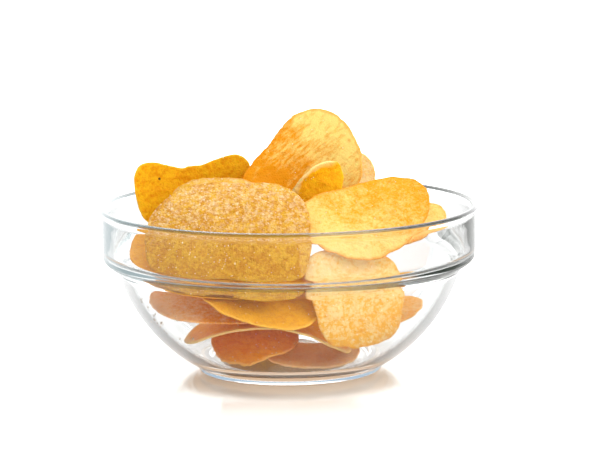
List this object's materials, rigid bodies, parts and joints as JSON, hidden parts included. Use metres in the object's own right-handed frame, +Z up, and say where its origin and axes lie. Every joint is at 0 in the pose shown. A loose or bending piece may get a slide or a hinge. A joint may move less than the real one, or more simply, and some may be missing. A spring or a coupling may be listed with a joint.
{
  "type": "bowl of crisps",
  "caption": "Clear round glass bowl with a stacking band, filled with a loose heap of thin curved potato crisps, ready to serve.",
  "frame": {"origin": "on the table, under the centre of the bowl's foot", "axes": "+Z up through the middle of the bowl, -Y towards the front of the heap, +X to its right"},
  "size_m": [0.143, 0.143, 0.0988],
  "materials": {
    "glass": "clear colourless pressed glass, polished, with a thick rounded rim and a plain stacking band",
    "crisp": "golden fried potato, lightly oily, blistered and mottled, a little browner at the edges"
  },
  "bodies": {
    "root": {"bowl": "glass", "crisp_floor": "crisp", "crisp_low_front": "crisp", "crisp_low_back": "crisp", "crisp_low_right": "crisp", "crisp_arch": "crisp", "crisp_under_ledge": "crisp", "crisp_low_inner": "crisp", "crisp_ledge": "crisp", "crisp_shelf": "crisp", "crisp_front_right": "crisp", "crisp_inner_left": "crisp", "crisp_inner_right": "crisp", "crisp_right_tip": "crisp", "crisp_inner_back": "crisp", "crisp_centre": "crisp", "crisp_right": "crisp", "crisp_behind_front": "crisp", "crisp_front": "crisp", "crisp_back_left": "crisp", "crisp_back": "crisp", "crisp_peak_back": "crisp", "crisp_peak": "crisp", "crisp_curl": "crisp"}
  },
  "joints": []
}
